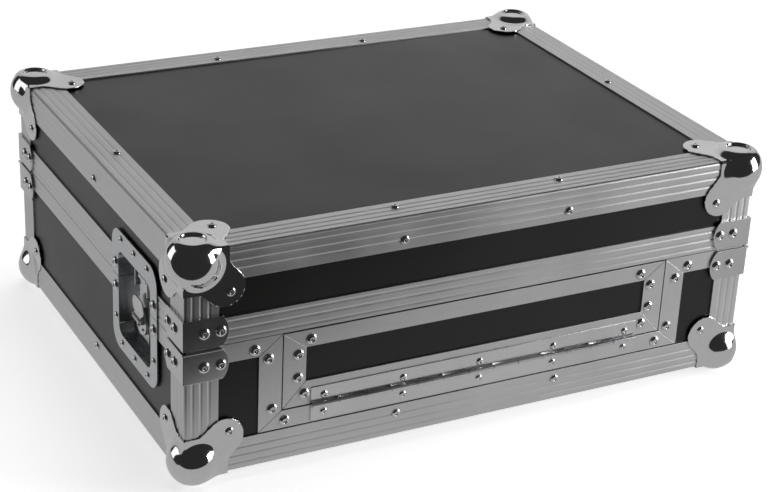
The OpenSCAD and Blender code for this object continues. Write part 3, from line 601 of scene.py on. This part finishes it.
def bail():
    """Bent rod with a ribbed grip over its middle."""
    mid = CASE_W / 2
    ends = [(mid - TRUNNION_X, BAIL_Y, AXIS_Z), (mid - ARM_X, BAIL_Y, AXIS_Z), (mid - ARM_X, BAIL_Y, GRIP_Z)]
    ends += [(2 * mid - x, y, z) for x, y, z in reversed(ends)]
    coarse = rounded_path(ends, 5.0)
    path, radii = [], []
    for a, b in zip(coarse, coarse[1:]):
        steps = max(1, round((b - a).length / 0.5))
        path += [a.lerp(b, i / steps) for i in range(steps)]
    path.append(coarse[-1])
    for p in path:
        off = GRIP_HALF - abs(p.x - mid)
        if off > 0 and p.z < GRIP_Z + 1:
            swell = min(1, off / 3)
            rib = 0.3 * (1 + math.cos(2 * math.pi * (p.x - mid) / 4.3))
            radii.append(ROD_R + (GRIP_R - ROD_R - rib) * math.sqrt(1 - (1 - swell) ** 2))
        else:
            radii.append(ROD_R)
    return swept(path, radii, 28)


solid_piece("handle_ribbed_bail", *bail(), "handle", ["handle_bail"], RUBBER, "grip_rubber", 60)

# ---- wings and rotors of the latches ----

LATCH_Y, WING_X, WING_Z, WING_TOP = 111.5, 2.6, 98.0, 117.0
WING_HALF, WING_ROUND, WING_T = 13.0, 8.0, 1.4
BARREL_HALF, BARREL_R, RING_DEPTH, RING_PITCH = 7.6, 2.6, 0.4, 2.53
PIN_R, PIN_HALF = 1.1, 10.0
ROTOR_Z, ROTOR_R, ROTOR_FACE, ROTOR_BACK = 94.0, 12.0, 4.6, 7.2
AXLE_R, AXLE_END, TROUGH_R = 3.0, 11.7, 3.35
EAR_IN, EAR_OUT, EAR_R, EAR_BORE_R = 8.0, 10.0, 2.2, 1.5
DISC_RIVET_Y, DISC_RIVET_DROP, DISC_RIVET_R = 5.0, 5.5, 1.5
DISC_EDGE, AXLE_OVERLAP = 0.5, 0.3
FAR = 999


def within(value, low, high):
    """Distance outside a range, negative inside it."""
    return np.abs(value - (low + high) / 2) - (high - low) / 2


def wing_field(points):
    """Pressed tab with a raised rim, rolled round the coil on its pin."""
    x, y, z = (points - (WING_X, LATCH_Y, 0)).T
    low = WING_Z + 3.4 + WING_ROUND
    high = WING_TOP - WING_ROUND
    across = np.maximum(np.abs(y) - (WING_HALF - WING_ROUND), 0)
    along = np.maximum(np.maximum(low - z, z - max(high, low)), 0)
    outline = np.hypot(across, along) - WING_ROUND
    neck = np.maximum(np.abs(y) - BARREL_HALF, np.maximum(WING_Z - z, z - WING_Z - 6))
    tab = round_cut(np.minimum(outline, neck), np.abs(x) - WING_T / 2, 0.4)
    hollow = np.maximum(outline + 2.2, -x - 0.25)
    tab = round_cut(tab, -hollow, 0.2)
    barrel_r = np.hypot(x, z - WING_Z)
    rings = RING_DEPTH * np.cos(2 * math.pi * y / RING_PITCH)
    barrel = np.maximum(barrel_r - BARREL_R - rings, np.abs(y) - BARREL_HALF)
    pin = np.maximum(barrel_r - PIN_R, np.abs(y) - PIN_HALF)
    return np.minimum(round_union(tab, barrel, 0.6), pin)


def rotor_field(points):
    """Disc on its axle, with a trough for the wing's coil, two ears for the pin and two rivet heads."""
    x, y, z = (points - (0, LATCH_Y, 0)).T
    from_axle = np.hypot(y, z - ROTOR_Z)
    from_pin = np.hypot(x - WING_X, z - WING_Z)
    disc = round_cut(from_axle - ROTOR_R, within(x, ROTOR_FACE, ROTOR_BACK), DISC_EDGE)
    for rivet_y in (-DISC_RIVET_Y, DISC_RIVET_Y):
        away = (x - ROTOR_FACE) ** 2 + (y - rivet_y) ** 2 + (z - ROTOR_Z + DISC_RIVET_DROP) ** 2
        disc = np.minimum(disc, np.sqrt(away) - DISC_RIVET_R)
    disc = np.maximum(disc, -np.maximum(from_pin - TROUGH_R, np.abs(y) - EAR_IN))
    foot = box_field(
        points, (WING_X, -FAR, WING_Z - EAR_R), (ROTOR_FACE + 1, FAR, WING_Z + EAR_R)
    )
    ear = np.maximum(np.minimum(from_pin - EAR_R, foot), within(np.abs(y), EAR_IN, EAR_OUT))
    ear = np.maximum(ear, EAR_BORE_R - from_pin)
    axle = np.maximum(from_axle - AXLE_R, within(x, ROTOR_BACK, AXLE_END) - AXLE_OVERLAP)
    return np.minimum(np.minimum(disc, ear), axle)


# Each grid is a cube with this half side round the latch's centre line
LATCH_STEP, LATCH_CELLS, GRID_HALF = 0.42, 67, 14
WING_GRID = (WING_X - GRID_HALF, LATCH_Y - GRID_HALF, WING_Z - 4)
ROTOR_GRID = (-5.5, LATCH_Y - GRID_HALF, ROTOR_Z - GRID_HALF)
wing = net(wing_field, WING_GRID, LATCH_STEP, LATCH_CELLS)
rotor = net(rotor_field, ROTOR_GRID, LATCH_STEP, LATCH_CELLS)
for side in ("left", "right"):
    for piece, part in (("wing", wing), ("rotor", rotor)):
        shape = part if side == "left" else mirrored(part, 0, CASE_W)
        name = side + "_" + piece
        solid_piece(
            side + "_pressed_" + piece, *shape, name, [side + "_latch_" + piece], ZINC, "zinc_steel", 40
        )

# ---- foam ----

for name, body in (("base_floor_foam", "base"), ("base_wall_foam", "base"), ("lid_foam", "lid")):
    pad = bpy.data.objects.new(name.replace("foam", "pad"), nodes[name].data.copy())
    bpy.context.collection.objects.link(pad)
    pad.matrix_world = nodes[name].matrix_world
    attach(pad, body)
    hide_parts(name)
    pad.data.materials.clear()
    pad.data.materials.append(FOAM)
    weld = pad.modifiers.new("weld", "WELD")
    weld.merge_threshold = 1e-5
    soft = pad.modifiers.new("soft_edges", "BEVEL")
    soft.width = 3 * MM
    soft.segments = 4
    soft.limit_method = "ANGLE"
    soft.angle_limit = math.radians(40)

# ---- edges of the CAD pieces ----

for name, obj in nodes.items():
    if obj.hide_render or "foam" in name:
        continue
    weld = obj.modifiers.new("weld", "WELD")
    weld.merge_threshold = 1e-5
    bevel = obj.modifiers.new("edges", "BEVEL")
    bevel.width = (0.5 if "dish" in name or "brace" in name else 0.25) * MM
    bevel.segments = 2
    bevel.limit_method = "ANGLE"
    bevel.angle_limit = math.radians(40)

# ---- floor and light ----

def floor_material(name, albedo, glow):
    n = Nodes(name)
    n.set(roughness=0.8, specular=0.1)
    n.shader.inputs["Emission Color"].default_value = (1, 1, 1, 1)
    n.shader.inputs["Emission Strength"].default_value = glow
    spots = n.noise(3, 3, 0.5)
    n.link(
        n.colours(spots, [(0.3, (albedo - 0.02,) * 3), (0.7, (albedo + 0.02,) * 3)]),
        n.shader.inputs["Base Color"],
    )
    return n.mat


def flat_card(name, size, at, turned, material):
    """A flat sheet on the stage, facing up, with its turn about Z and its tip about X in degrees."""
    mesh = bpy.data.meshes.new(name)
    w, d = size[0] / 2, size[1] / 2
    mesh.from_pydata([(-w, -d, 0), (w, -d, 0), (w, d, 0), (-w, d, 0)], [], [(0, 1, 2, 3)])
    mesh.materials.append(material)
    obj = bpy.data.objects.new(name, mesh)
    bpy.context.collection.objects.link(obj)
    spin, tip = turned
    obj.matrix_world = (
        Matrix.Translation(at)
        @ Matrix.Rotation(math.radians(spin), 4, "Z")
        @ Matrix.Rotation(math.radians(tip), 4, "X")
    )
    return obj


FLOOR_GLOW = 0.62
SHEET_ALBEDO, SHEET_GLOW = 0.55, 0.17
BACKDROP_ALBEDO, BACKDROP_GLOW = 0.5, 0.22
# The white sheet under the case ends this far in front of the origin, toward the camera
SHEET_FRONT = 0.42
SHEET_SIZE = 5.0
BACKDROP_AWAY, BACKDROP_H = 1.9, 2.4
FLOOR_SIZE, FLOOR_ALBEDO = 14, 0.8

pale_floor = floor_material("pale_floor", FLOOR_ALBEDO, FLOOR_GLOW)
floor = flat_card("floor", (FLOOR_SIZE, FLOOR_SIZE), (0, 0, 0), (0, 0), pale_floor)
floor.visible_glossy = False

# What the metal mirrors: a white sheet that ends just in front of the case, and its upright rear part
view_h = Vector((math.sin(math.radians(HEADING)), math.cos(math.radians(HEADING)), 0))
white_sheet = floor_material("white_sheet", SHEET_ALBEDO, SHEET_GLOW)
low_sheet = flat_card(
    "mirrored_sheet",
    (SHEET_SIZE, SHEET_SIZE),
    view_h * (SHEET_SIZE / 2 - SHEET_FRONT),
    (-HEADING, 0),
    white_sheet,
)
rear_sheet = flat_card(
    "mirrored_backdrop",
    (SHEET_SIZE, BACKDROP_H),
    view_h * BACKDROP_AWAY + Vector((0, 0, BACKDROP_H / 2)),
    (-HEADING, 90),
    floor_material("grey_backdrop", BACKDROP_ALBEDO, BACKDROP_GLOW),
)
for card in (low_sheet, rear_sheet):
    card.visible_camera = False
    card.visible_diffuse = False
    card.visible_shadow = False


def softbox(name, direction, distance, size, power):
    """Area light in the given direction from the case, facing it."""
    data = bpy.data.lights.new(name, "AREA")
    data.shape = "RECTANGLE"
    data.size, data.size_y = size
    data.energy = power
    obj = bpy.data.objects.new(name, data)
    bpy.context.collection.objects.link(obj)
    aim = Vector((0, 0, 0.12))
    away = Vector(direction).normalized()
    obj.location = aim + away * distance
    obj.rotation_euler = away.to_track_quat("Z", "Y").to_euler()
    return obj


softbox("left", (-0.86, 0.44, 0.24), 1.9, (0.9, 1.0), 4)
softbox("right", (0.8, -0.55, 0.19), 2.0, (0.8, 1.1), 28)
top_light = softbox("top", (0.2, 0.1, 1), 2.4, (2.2, 2.2), 38)
top_light.visible_glossy = False

world = bpy.data.worlds.new("studio")
world.use_nodes = True
bpy.context.scene.world = world
room = world.node_tree.nodes["Background"]
room.inputs["Color"].default_value = (1, 1, 1, 1)
room.inputs["Strength"].default_value = 0.03
